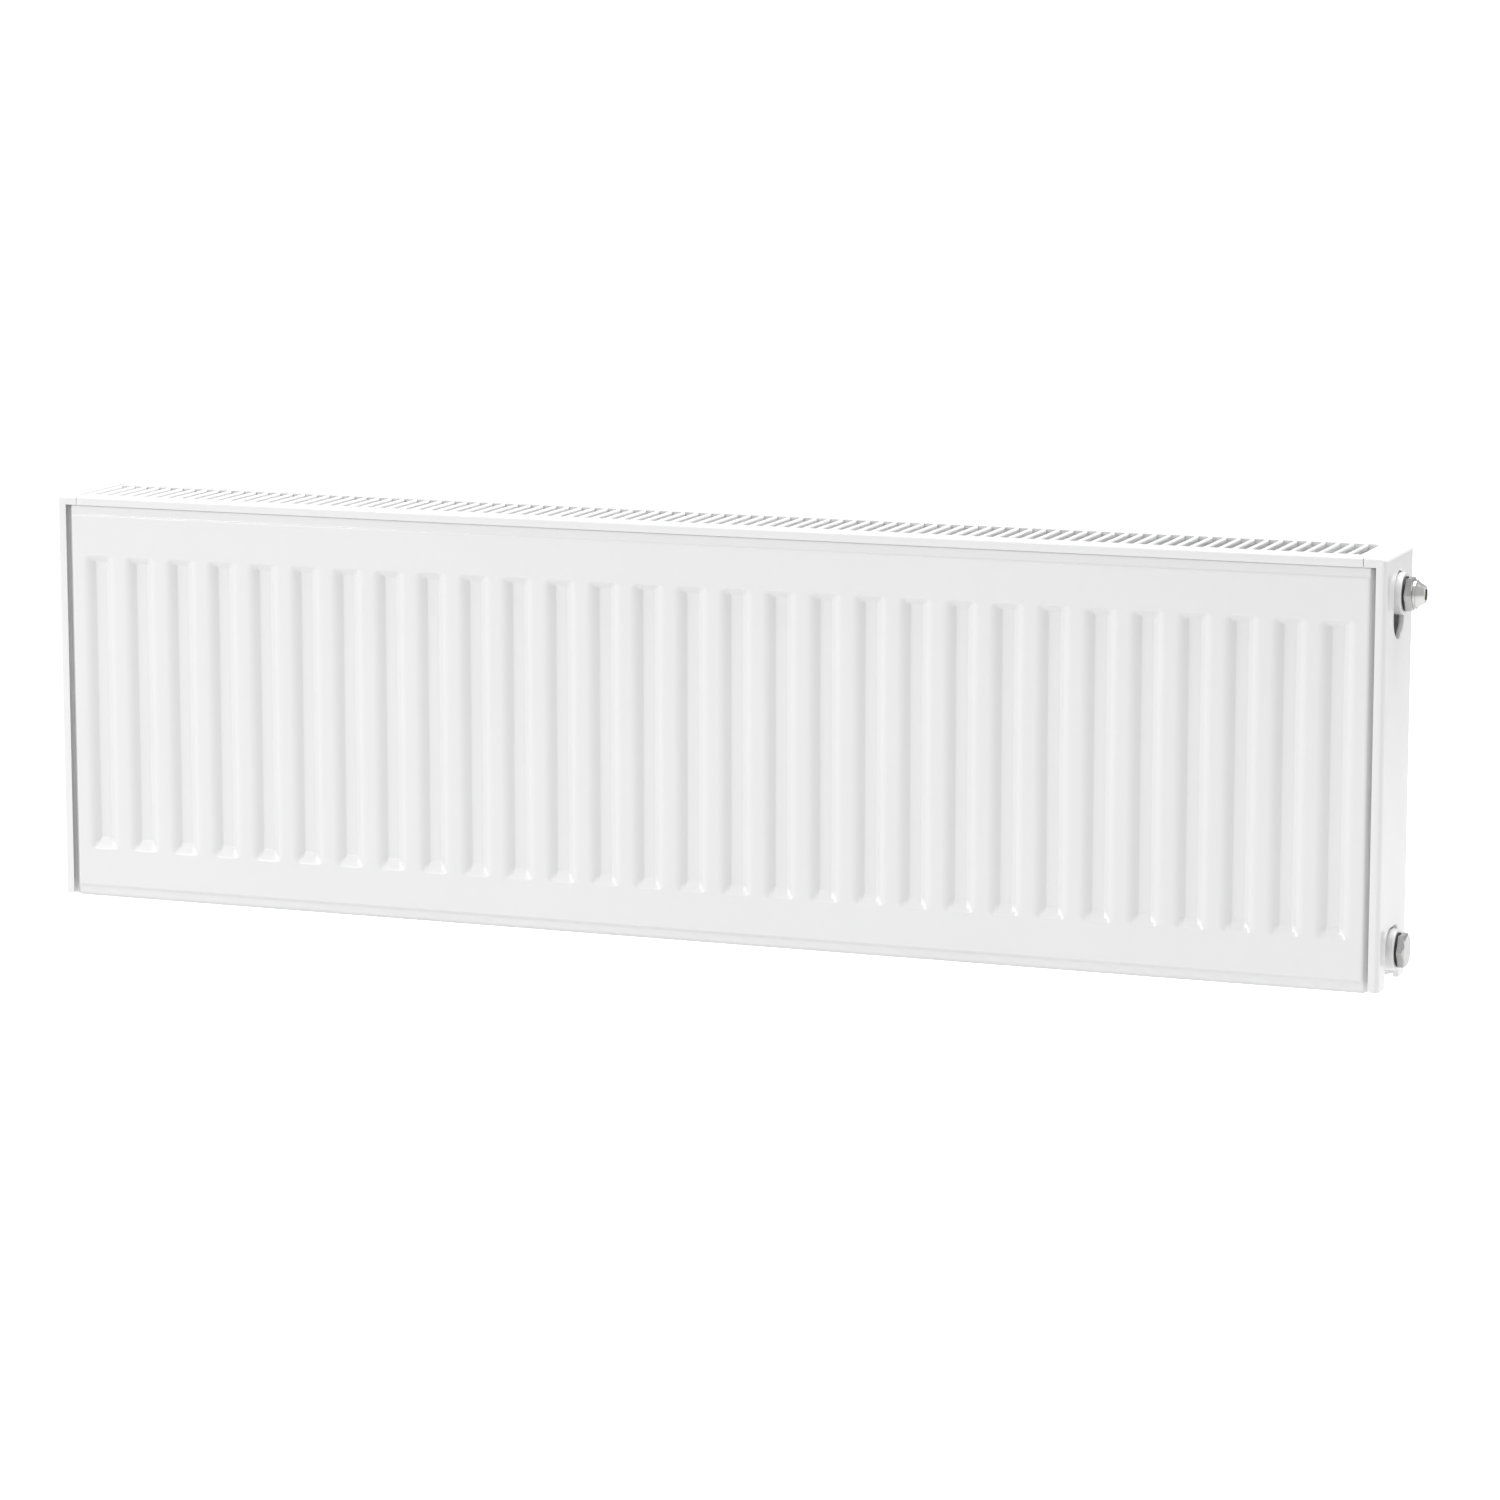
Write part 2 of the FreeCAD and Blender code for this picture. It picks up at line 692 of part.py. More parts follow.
def build_parts():
    """All the nodes by name."""
    shell = half_panel_shell()
    back = mirrored_back(shell)
    front_shift = Vec(0, front_y, 0)
    rear_shift = Vec(0, rear_panel_mid_y - half_panel, 0)
    parts = {
        "front_panel_face": shell.translated(front_shift),
        "front_panel_back": back.translated(front_shift).cut(water_passages(front_y + panel_thickness)),
        "rear_panel_face": shell.translated(rear_shift).cut(water_passages(rear_y - panel_thickness)),
        "rear_panel_back": back.translated(rear_shift),
        "convector": convector(),
        "tee_top_left": tee(-1, upper_z),
        "tee_top_right": tee(1, upper_z),
        "tee_bottom_left": tee(-1, lower_z),
        "tee_bottom_right": tee(1, lower_z),
        "top_grille": top_grille(),
        "grille_clips": grille_clips(),
        "side_cover_left": side_cover(-1),
        "side_cover_right": side_cover(1),
        "vent_plug": vent_plug(),
        "vent_plug_o_ring": o_ring(upper_z),
        "vent_nozzle": vent_nozzle(),
        "bleed_screw": bleed_screw(),
        "blank_plug": blank_plug(),
        "blank_plug_o_ring": o_ring(lower_z),
    }
    for side_name, x in (("left", -lug_spacing_x / 2), ("right", lug_spacing_x / 2)):
        parts["upper_lug_" + side_name] = hanging_lug(x, lug_spacing_z / 2)
        parts["lower_lug_" + side_name] = hanging_lug(x, -lug_spacing_z / 2)
    return parts


def main():
    os.makedirs("parts", exist_ok=True)
    for name, shape in build_parts().items():
        if len(shape.Solids) == 1:
            shape = shape.Solids[0]
        shape.exportStep("parts/" + name + ".step")
        print(name, len(shape.Solids), len(shape.Faces), shape.isValid())


main()
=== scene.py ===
import math

import bmesh
import bpy
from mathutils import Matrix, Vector


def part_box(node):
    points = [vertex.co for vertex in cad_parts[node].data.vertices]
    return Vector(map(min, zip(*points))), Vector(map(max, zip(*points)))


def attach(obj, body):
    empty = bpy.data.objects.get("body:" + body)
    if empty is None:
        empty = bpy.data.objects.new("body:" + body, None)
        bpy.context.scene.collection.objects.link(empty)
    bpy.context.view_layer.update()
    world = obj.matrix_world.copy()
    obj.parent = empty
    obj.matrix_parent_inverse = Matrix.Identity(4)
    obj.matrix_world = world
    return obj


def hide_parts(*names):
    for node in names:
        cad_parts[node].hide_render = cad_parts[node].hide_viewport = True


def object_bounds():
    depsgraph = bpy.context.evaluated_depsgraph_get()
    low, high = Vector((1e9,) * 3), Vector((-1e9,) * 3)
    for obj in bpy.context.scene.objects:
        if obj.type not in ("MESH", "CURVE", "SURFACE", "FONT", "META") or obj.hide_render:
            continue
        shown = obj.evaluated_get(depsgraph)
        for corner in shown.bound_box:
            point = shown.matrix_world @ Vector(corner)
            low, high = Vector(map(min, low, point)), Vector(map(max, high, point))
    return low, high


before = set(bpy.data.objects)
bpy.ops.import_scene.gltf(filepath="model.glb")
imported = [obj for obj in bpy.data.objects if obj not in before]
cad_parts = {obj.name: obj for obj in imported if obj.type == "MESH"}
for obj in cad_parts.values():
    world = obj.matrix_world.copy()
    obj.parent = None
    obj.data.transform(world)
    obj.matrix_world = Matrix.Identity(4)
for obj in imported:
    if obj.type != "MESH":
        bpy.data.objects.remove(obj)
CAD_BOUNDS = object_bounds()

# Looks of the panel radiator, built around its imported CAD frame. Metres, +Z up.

MM = 0.001

# water panel
PANEL_SHEET = 1.2 * MM
GROOVE_COUNT = 29
GROOVE_PITCH = 100.0 / 3.0 * MM
GROOVE_HALF_MOUTH = 13.5 * MM
GROOVE_HALF_FLOOR = 4.0 * MM
GROOVE_EDGE_RADIUS = 10.0 * MM
GROOVE_FLOOR_RADIUS = 1.5 * MM
GROOVE_BOTTOM_RISE = 36.0 * MM
GROOVE_TOP_DROP = 43.2 * MM
GROOVE_BOTTOM_RAMP = 9.0 * MM
GROOVE_TOP_RAMP = 6.5 * MM
GROOVE_END_EDGE_RADIUS = 2.0 * MM
GROOVE_DEPTH = 4.3 * MM
MITRE_SHARPNESS = 5.0
GROOVE_ROWS = 8
MOUTH_STEPS = 8
FLOOR_STEPS = 4
END_STEPS = 8
END_ROUND_STEPS = 4
FLANGE_SIDE = 5.9 * MM
SIDE_SLOPE = 6.0 * MM
FLANGE_BOTTOM = 1.5 * MM
FLANGE_TOP = 4.5 * MM
FOOT_RADIUS = 1.5 * MM
EDGE_RADIUS = 3.0 * MM
EDGE_STEPS = 6
FOOT_STEPS = 5
CORNER_RADIUS = 5.0 * MM
BORDER_HEIGHT = 8.4 * MM
BORDER_STEP = 0.6 * MM
BORDER_RAMP = 1.0 * MM
BORDER_MARGIN = 0.4 * MM
BORDER_SOFTENING = 0.1 * MM
BORDER_SOFT_SHARE = 0.05
FOOT_BORDER_HEIGHT = 5.5 * MM
FOOT_BORDER_STEP = 1.8 * MM
FOOT_BORDER_RAMP = 2.5 * MM
FOOT_BORDER_SHARES = (-0.15, 0.05, 0.3, 0.7, 0.95, 1.15)

# casing
CASING_SHEET = 0.8 * MM
CASING_TOP_RADIUS = 2.5 * MM
CASING_TOP_STEPS = 6
SLOT_COUNT = 96
SLOT_PITCH = 10.0 * MM
SLOT_WIDTH = 6.8 * MM
SLOT_FRONT = 10.8 * MM
SLOT_REAR = 14.0 * MM
BAR_ROLL = 1.55 * MM
BAR_TAPER = 2.0 * MM
BAR_STEPS = 5
BAR_FLANGE = 5.0 * MM
COVER_LIP = 7.4 * MM
COVER_EDGE_RADIUS = 3.0 * MM
COVER_TOP_RADIUS = 7.0 * MM
OPENING_RADIUS = 15.6 * MM
OPENING_TRAVEL = 15.0 * MM
NOTCH_HALF_WIDTH = 19.0 * MM
NOTCH_CORNER = 12.0 * MM
RIM_DEPTH = 3.7 * MM
RIM_ROLL = 1.0 * MM
RIM_STEPS = 5
LIP_CORNER = 3.0 * MM
LIP_CORNER_STEPS = 5
PLATE_BAND = 10.0 * MM
OPENING_STEPS = 24
BEVEL_SEGMENTS = 8

# enamel: (scale, strength, distance) of the sheet's ripple and of the coat's fine grain
ENAMEL_TONE = (0.87, 0.87, 0.872)
FIN_TONE = (0.78, 0.78, 0.78)
PATCH_SCALE = 9.0
PATCH_DARKENING = 0.985
# painted highlight: convex edges of the enamel are lightened by this factor
PAINTED_EDGE_HIGHLIGHT = 1.03
RIPPLE = (14.0, 0.15, 0.0006)
ORANGE_PEEL = (900.0, 0.25, 0.00005)
SHEEN_SCALE = 35.0
COAT_WEIGHT = 0.8
COAT_ROUGHNESS = 0.12

# plated and plain metal
NICKEL_TONE = (0.60, 0.60, 0.595)
BRIGHT_NICKEL_TONE = (0.78, 0.78, 0.775)
BRASS_TONE = (0.78, 0.62, 0.34)
STEEL_TONE = (0.60, 0.60, 0.62)
TURNED_STREAK = (4000.0, 60.0, 60.0)
DRAWN_STREAK = (60.0, 60.0, 3000.0)
STAIN_SCALE = 90.0
STAIN_DARKENING = 0.93
# painted shade: reach of the ambient occlusion that darkens the metal colour in crevices
CREVICE_SHADE_REACH = 4.0 * MM
POLISH_SCALE = 500.0
SCRATCH_SCALE = 1500.0

# rubber
RUBBER_DARK = (0.012, 0.012, 0.012)
RUBBER_BLOOM = (0.03, 0.03, 0.03)
BLOOM_SCALE = 260.0
RUBBER_SHEEN_SCALE = 700.0
RUBBER_GRAIN_SCALE = 2500.0

# studio
FLOOR_DROP = 0.12
FLOOR_SIZE = 90.0
FLOOR_GLOW = 0.12
FLOOR_GLOW_SEEN = 0.60
FLOOR_BOUNCE = 0.60
FLOOR_DARK = (0.93, 0.93, 0.93)
FLOOR_PALE = (0.95, 0.95, 0.95)
ROOM_LIGHT = 0.56

# camera, placed from the front face and the underside of the radiator
CAMERA_YAW = 0.35866
CAMERA_PITCH = -0.17067
CAMERA_LENS = 124.868
CAMERA_SENSOR = 36.0
CAMERA_FAR = 300.0
CAMERA_RIGHT = 1.31243
CAMERA_BACK = 3.38237
CAMERA_RISE = 0.76448


def middle(node):
    """Centre of a CAD node's box."""
    low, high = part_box(node)
    return Vector([(a + b) / 2 for a, b in zip(low, high)])


def new_object(name, verts, faces, smooth_angle=35.0):
    """Mesh object from plain lists, smooth except across sharp angles."""
    mesh = bpy.data.meshes.new(name)
    mesh.from_pydata(verts, [], faces)
    mesh.update()
    obj = bpy.data.objects.new(name, mesh)
    bpy.context.scene.collection.objects.link(obj)
    finish_mesh(obj, smooth_angle)
    return obj


def finish_mesh(obj, smooth_angle=35.0):
    """Merges doubles and sets the smoothing."""
    mesh = obj.data
    work = bmesh.new()
    work.from_mesh(mesh)
    bmesh.ops.remove_doubles(work, verts=work.verts, dist=0.00001)
    work.to_mesh(mesh)
    work.free()
    for polygon in mesh.polygons:
        polygon.use_smooth = True
    mesh.set_sharp_from_angle(angle=math.radians(smooth_angle))


def thicken(obj, thickness):
    """Gives a surface its sheet thickness on the side away from its normals."""
    solid = obj.modifiers.new("sheet", "SOLIDIFY")
    solid.thickness = thickness
    solid.offset = -1.0
    solid.use_even_offset = False
    solid.use_quality_normals = True


def flatten_shading(obj):
    """Keeps wide flat faces flat beside their rounded edges."""
    shading = obj.modifiers.new("shading", "WEIGHTED_NORMAL")
    shading.keep_sharp = True


def rounded_slope(run, depth, edge_radius, floor_radius, edge_steps, floor_steps):
    """(distance, depth) samples down a slope with its own rounding at each end."""
    radii = edge_radius + floor_radius
    tangent = math.sqrt(run ** 2 + (depth - radii) ** 2 - radii ** 2)
    slope = math.atan2(radii, tangent) + math.atan2(depth - radii, run)
    samples = []
    for i in range(edge_steps + 1):
        a = slope * i / edge_steps
        samples.append((edge_radius * math.sin(a), edge_radius * (1 - math.cos(a))))
    for i in range(floor_steps, -1, -1):
        a = slope * i / floor_steps
        distance = run - floor_radius * math.sin(a)
        samples.append((distance, depth - floor_radius * (1 - math.cos(a))))
    return samples


def end_slope(run):
    """Slope that closes a groove at its top or bottom, with extra samples for the mitre."""
    ends = rounded_slope(run, GROOVE_DEPTH, GROOVE_END_EDGE_RADIUS, GROOVE_FLOOR_RADIUS,
                         END_ROUND_STEPS, END_ROUND_STEPS)
    last_edge, first_floor = ends[END_ROUND_STEPS], ends[END_ROUND_STEPS + 1]
    samples = ends[:END_ROUND_STEPS + 1]
    for i in range(1, END_STEPS):
        share = i / END_STEPS
        samples.append(tuple(a + (b - a) * share for a, b in zip(last_edge, first_floor)))
    return samples + ends[END_ROUND_STEPS + 1:]


def mitred(across, along):
    """Groove depth where a side slope and an end slope meet in a softened mitre."""
    u = 1 - across / GROOVE_DEPTH
    v = 1 - along / GROOVE_DEPTH
    blend = (abs(u) ** MITRE_SHARPNESS + abs(v) ** MITRE_SHARPNESS) ** (1 / MITRE_SHARPNESS)
    return GROOVE_DEPTH * max(0.0, 1 - blend)


def corner_arc(radius, steps):
    """(inset, drop) samples round a quarter circle, from the flank to the land."""
    samples = []
    for i in range(steps + 1):
        a = math.pi / 2 * i / steps
        samples.append((radius * (1 - math.cos(a)), radius * (1 - math.sin(a))))
    return samples


def panel_columns(half_width):
    """(x, edge drop, groove depth) of every vertical grid line of a water panel."""
    chamber = half_width - FLANGE_SIDE
    columns = [(half_width, GROOVE_DEPTH, 0.0)]
    flank = rounded_slope(SIDE_SLOPE, GROOVE_DEPTH, EDGE_RADIUS, FOOT_RADIUS, EDGE_STEPS, FOOT_STEPS)
    for distance, drop in reversed(flank):
        columns.append((chamber - SIDE_SLOPE + distance, drop, 0.0))
    run = GROOVE_HALF_MOUTH - GROOVE_HALF_FLOOR
    side = rounded_slope(run, GROOVE_DEPTH, GROOVE_EDGE_RADIUS, GROOVE_FLOOR_RADIUS,
                         MOUTH_STEPS, FLOOR_STEPS)
    grid = [(-x, drop, depth) for x, drop, depth in columns]
    for index in range(GROOVE_COUNT):
        centre = (index - (GROOVE_COUNT - 1) / 2) * GROOVE_PITCH
        for distance, depth in side:
            grid.append((centre - GROOVE_HALF_MOUTH + distance, 0.0, depth))
        for distance, depth in reversed(side):
            grid.append((centre + GROOVE_HALF_MOUTH - distance, 0.0, depth))
    grid += [(x, drop, depth) for x, drop, depth in reversed(columns)]
    return grid


def panel_rows(low, high):
    """(z, edge drop, deepest groove) of every level grid line of a water panel."""
    bottom = low + FLANGE_BOTTOM
    rows = [(low, GROOVE_DEPTH, 0.0), (bottom, GROOVE_DEPTH, 0.0)]
    for inset, drop in corner_arc(EDGE_RADIUS, EDGE_STEPS):
        rows.append((bottom + inset, drop + FOOT_BORDER_STEP * (1 - drop / EDGE_RADIUS), 0.0))
    foot_z = bottom + FOOT_BORDER_HEIGHT
    for share in FOOT_BORDER_SHARES:
        drop = FOOT_BORDER_STEP * (1 - min(max(share, 0.0), 1.0))
        rows.append((foot_z + FOOT_BORDER_RAMP * share, drop, 0.0))
    groove_low = low + GROOVE_BOTTOM_RISE
    groove_high = casing_top - GROOVE_TOP_DROP
    for distance, depth in end_slope(GROOVE_BOTTOM_RAMP):
        rows.append((groove_low + distance, 0.0, depth))
    for i in range(1, GROOVE_ROWS):
        rows.append((groove_low + (groove_high - groove_low) * i / GROOVE_ROWS, 0.0, GROOVE_DEPTH))
    for distance, depth in reversed(end_slope(GROOVE_TOP_RAMP)):
        rows.append((groove_high - distance, 0.0, depth))
    top = high - FLANGE_TOP
    step_z = top - BORDER_HEIGHT
    ramp_z = step_z - BORDER_RAMP
    rows.append((ramp_z - BORDER_MARGIN, 0.0, 0.0))
    rows.append((ramp_z + BORDER_SOFTENING, BORDER_SOFT_SHARE * BORDER_STEP, 0.0))
    rows.append((step_z - BORDER_SOFTENING, (1 - BORDER_SOFT_SHARE) * BORDER_STEP, 0.0))
    rows.append((step_z + BORDER_MARGIN, BORDER_STEP, 0.0))
    for inset, drop in reversed(corner_arc(EDGE_RADIUS, EDGE_STEPS)):
        rows.append((top - inset, drop + BORDER_STEP * (1 - drop / EDGE_RADIUS), 0.0))
    rows.append((top, GROOVE_DEPTH, 0.0))
    rows.append((high, GROOVE_DEPTH, 0.0))
    return rows


def round_corner(x, z, half_width, low, high):
    """Moves a grid point so that the panel's corners are rounded in front view."""
    centre_x = half_width - FLANGE_SIDE - CORNER_RADIUS
    across = abs(x) - centre_x
    if z > 0:
        centre_z = high - FLANGE_TOP - CORNER_RADIUS
        up = z - centre_z
        sign = 1.0
    else:
        centre_z = low + FLANGE_BOTTOM + CORNER_RADIUS
        up = centre_z - z
        sign = -1.0
    if across <= 0 or up <= 0:
        return x, z
    scale = max(across, up) / math.hypot(across, up)
    return math.copysign(centre_x + across * scale, x), centre_z + sign * up * scale


def pressed_sheet(node, front_y, facing):
    """Pressed sheet of a water panel. facing is -1 for a front sheet, 1 for a back one."""
    low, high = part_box(node)
    half_width = high[0]
    columns = panel_columns(half_width)
    rows = panel_rows(low[2], high[2])
    verts = []
    for z, row_drop, end_depth in rows:
        for x, column_drop, groove in columns:
            depth = max(row_drop, column_drop) + mitred(groove, end_depth)
            px, pz = round_corner(x, z, half_width, low[2], high[2])
            verts.append((px, front_y - facing * depth, pz))
    width = len(columns)
    faces = []
    for j in range(len(rows) - 1):
        for i in range(width - 1):
            a = j * width + i
            quad = (a, a + 1, a + 1 + width, a + width)
            faces.append(quad if facing < 0 else quad[::-1])
    sheet = new_object(node + "_pressed", verts, faces)
    thicken(sheet, PANEL_SHEET)
    flatten_shading(sheet)
    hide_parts(node)
    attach(sheet, "radiator_body")
    return sheet


def bar_section(left, right, top, roll, start_left, start_right):
    """Cross-section of one grille bar, from its left flange foot to its right one."""
    points = []
    steps = BAR_STEPS
    if start_left:
        points.append((left, top - BAR_FLANGE))
        for i in range(steps + 1):
            a = math.pi / 2 * i / steps
            flat = BAR_ROLL * i / steps
            x = left + roll * (1 - math.cos(a)) + (BAR_ROLL - roll) / BAR_ROLL * flat
            z = top - roll * (1 - math.sin(a))
            points.append((x, z))
    else:
        points.append((left, top))
    if start_right:
        for i in range(steps, -1, -1):
            a = math.pi / 2 * i / steps
            flat = BAR_ROLL * i / steps
            x = right - roll * (1 - math.cos(a)) - (BAR_ROLL - roll) / BAR_ROLL * flat
            z = top - roll * (1 - math.sin(a))
            points.append((x, z))
        points.append((right, top - BAR_FLANGE))
    else:
        points.append((right, top))
    return points


def top_grille():
    """Grille with rolled bars between the slots and a lip along the front and the rear."""
    low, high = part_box("top_grille")
    top = high[2]
    half_slot = SLOT_WIDTH / 2
    slot_edges = []
    for index in range(SLOT_COUNT):
        centre = (index - (SLOT_COUNT - 1) / 2) * SLOT_PITCH
        slot_edges.append((centre - half_slot, centre + half_slot))
    bars = [(low[0], slot_edges[0][0], False, True)]
    for i in range(SLOT_COUNT - 1):
        bars.append((slot_edges[i][1], slot_edges[i + 1][0], True, True))
    bars.append((slot_edges[-1][1], high[0], True, False))
    slot_front = low[1] + SLOT_FRONT
    slot_rear = high[1] - SLOT_REAR
    stations = [(slot_front, 0.0), (slot_front + BAR_TAPER, BAR_ROLL),
                (slot_rear - BAR_TAPER, BAR_ROLL), (slot_rear, 0.0)]
    verts = []
    faces = []

    def add_grid(grid, flip):
        """Adds a net of points and its faces, turned over if flip is true."""
        base = len(verts)
        width = len(grid[0])
        for row in grid:
            verts.extend(row)
        for j in range(len(grid) - 1):
            for i in range(width - 1):
                a = base + j * width + i
                quad = (a, a + 1, a + 1 + width, a + width)
                faces.append(quad[::-1] if flip else quad)

    edge_line = []
    for left, right, start_left, start_right in bars:
        grid = []
        for y, roll in stations:
            section = bar_section(left, right, top, roll, start_left, start_right)
            grid.append([(x, y, z) for x, z in section])
        add_grid(grid, False)
        section = bar_section(left, right, top, 0.0, start_left, start_right)
        edge_line += [x for x, z in section if abs(z - top) < 0.01 * MM]
    radius = CASING_TOP_RADIUS
    steps = CASING_TOP_STEPS
    for side in (-1, 1):
        outer = low[1] if side < 0 else high[1]
        inner = slot_front if side < 0 else slot_rear
        profile = [(outer, low[2])]
        for i in range(steps + 1):
            a = math.pi / 2 * i / steps
            y = outer - side * radius * (1 - math.cos(a))
            profile.append((y, top - radius * (1 - math.sin(a))))
        profile.append((inner, top))
        grid = [[(x, y, z) for x in edge_line] for y, z in profile]
        add_grid(grid, side > 0)
    collar_low = top - BAR_FLANGE
    for left, right in slot_edges:
        for y, flip in ((slot_front, True), (slot_rear, False)):
            add_grid([[(left, y, collar_low), (right, y, collar_low)],
                      [(left, y, top), (right, y, top)]], flip)
    grille = new_object("top_grille_pressed", verts, faces)
    thicken(grille, CASING_SHEET)
    flatten_shading(grille)
    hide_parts("top_grille")
    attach(grille, "grille")
    return grille


def stadium(centre_y, high_z, low_z, radius, steps):
    """Closed loop of (y, z) round an upright slot."""
    loop = []
    for i in range(steps + 1):
        a = math.pi * i / steps
        loop.append((centre_y + radius * math.cos(a), high_z + radius * math.sin(a)))
    for i in range(steps + 1):
        a = math.pi + math.pi * i / steps
        loop.append((centre_y + radius * math.cos(a), low_z + radius * math.sin(a)))
    return loop


def notch(centre_y, top_z, half, radius, bottom_z, steps):
    """Open run of (y, z) up one side of the notch, across and down the other."""
    run = [(centre_y + half, bottom_z)]
    for i in range(steps + 1):
        a = math.pi / 2 * i / steps
        z = top_z - radius + radius * math.sin(a)
        run.append((centre_y + half - radius + radius * math.cos(a), z))
    for i in range(steps + 1):
        a = math.pi / 2 + math.pi / 2 * i / steps
        z = top_z - radius + radius * math.sin(a)
        run.append((centre_y - half + radius + radius * math.cos(a), z))
    run.append((centre_y - half, bottom_z))
    return run


def opening_rim(work, outer, make_loop, closed):
    """Edge of an opening, rolled inward. Returns the ring that lies in the end plate."""
    rings = []
    for i in range(RIM_STEPS + 1):
        a = math.pi / 2 * i / RIM_STEPS
        grow = RIM_ROLL * (1 - math.sin(a))
        x = outer - RIM_ROLL * (1 - math.cos(a))
        rings.append([work.verts.new((x, y, z)) for y, z in make_loop(grow)])
    rings.append([work.verts.new((outer - RIM_DEPTH, y, z)) for y, z in make_loop(0.0)])
    count = len(rings[0]) if closed else len(rings[0]) - 1
    for ring, next_ring in zip(rings, rings[1:]):
        for i in range(count):
            k = (i + 1) % len(ring)
            work.faces.new((ring[i], ring[k], next_ring[k], next_ring[i]))
    return rings[0]


def lip_outline(inner, outer, y, bottom, step_z, top):
    """L-shaped outline of a front or rear lip, its free lower corner rounded."""
    points = [(outer, y, bottom), (outer, y, top), (inner, y, top), (inner, y, step_z)]
    lip_x = outer - COVER_LIP
    points.append((lip_x, y, step_z))
    for i in range(LIP_CORNER_STEPS + 1):
        a = math.pi + math.pi / 2 * i / LIP_CORNER_STEPS
        x = lip_x + LIP_CORNER * (1 + math.cos(a))
        points.append((x, y, bottom + LIP_CORNER * (1 + math.sin(a))))
    return points


def side_cover(side):
    """Pressed side cover: end plate, lips, top flange and two rolled openings."""
    node = "side_cover_right" if side > 0 else "side_cover_left"
    boss = middle("tee_top_right" if side > 0 else "tee_top_left")
    low_boss = middle("tee_bottom_right" if side > 0 else "tee_bottom_left")
    low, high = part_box(node)
    outer = max(abs(low[0]), abs(high[0]))
    inner = min(abs(low[0]), abs(high[0]))
    front, rear, bottom, top = low[1], high[1], low[2], high[2]
    step_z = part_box("top_grille")[0][2]
    work = bmesh.new()
    front_lip = [work.verts.new(p) for p in lip_outline(inner, outer, front, bottom, step_z, top)]
    rear_lip = [work.verts.new(p) for p in lip_outline(inner, outer, rear, bottom, step_z, top)]
    work.faces.new(front_lip)
    work.faces.new(rear_lip)
    work.faces.new((front_lip[1], rear_lip[1], rear_lip[2], front_lip[2]))
    near, far = front + PLATE_BAND, rear - PLATE_BAND
    band = [work.verts.new((outer, y, z)) for y, z in
            ((near, bottom), (near, top - PLATE_BAND), (far, top - PLATE_BAND), (far, bottom))]
    work.faces.new((front_lip[0], front_lip[1], band[1], band[0]))
    work.faces.new((front_lip[1], rear_lip[1], band[2], band[1]))
    work.faces.new((rear_lip[1], rear_lip[0], band[3], band[2]))
    slot_ring = opening_rim(work, outer, lambda grow: stadium(
        boss[1], boss[2], boss[2] - OPENING_TRAVEL, OPENING_RADIUS + grow, OPENING_STEPS), True)
    notch_ring = opening_rim(work, outer, lambda grow: notch(
        low_boss[1], low_boss[2] + OPENING_RADIUS + grow, NOTCH_HALF_WIDTH + grow,
        NOTCH_CORNER + grow, bottom, OPENING_STEPS // 2), False)
    loop = band + notch_ring
    boundary = list(zip(slot_ring, slot_ring[1:] + slot_ring[:1]))
    boundary += list(zip(loop, loop[1:] + loop[:1]))
    edges = [work.edges.get(pair) or work.edges.new(pair) for pair in boundary]
    bmesh.ops.triangle_fill(work, use_beauty=True, use_dissolve=False, edges=edges)
    weights = work.edges.layers.float.new("bevel_weight_edge")
    for pair, radius in (((front_lip[0], front_lip[1]), COVER_EDGE_RADIUS),
                         ((rear_lip[0], rear_lip[1]), COVER_EDGE_RADIUS),
                         ((front_lip[1], front_lip[2]), CASING_TOP_RADIUS),
                         ((rear_lip[1], rear_lip[2]), CASING_TOP_RADIUS),
                         ((front_lip[1], rear_lip[1]), COVER_TOP_RADIUS)):
        work.edges.get(pair)[weights] = radius / COVER_TOP_RADIUS
    for vert in work.verts:
        vert.co.x *= side
    bmesh.ops.recalc_face_normals(work, faces=work.faces)
    mesh = bpy.data.meshes.new(node + "_pressed")
    work.to_mesh(mesh)
    work.free()
    if sum(face.normal.x * side * face.area for face in mesh.polygons) < 0:
        mesh.flip_normals()
    for face in mesh.polygons:
        face.use_smooth = True
    cover = bpy.data.objects.new(node + "_pressed", mesh)
    bpy.context.scene.collection.objects.link(cover)
    rounding = cover.modifiers.new("rounding", "BEVEL")
    rounding.limit_method = "WEIGHT"
    rounding.width = COVER_TOP_RADIUS
    rounding.segments = BEVEL_SEGMENTS
    rounding.use_clamp_overlap = False
    thicken(cover, CASING_SHEET)
    flatten_shading(cover)
    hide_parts(node)
    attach(cover, "cover_right" if side > 0 else "cover_left")
    return cover


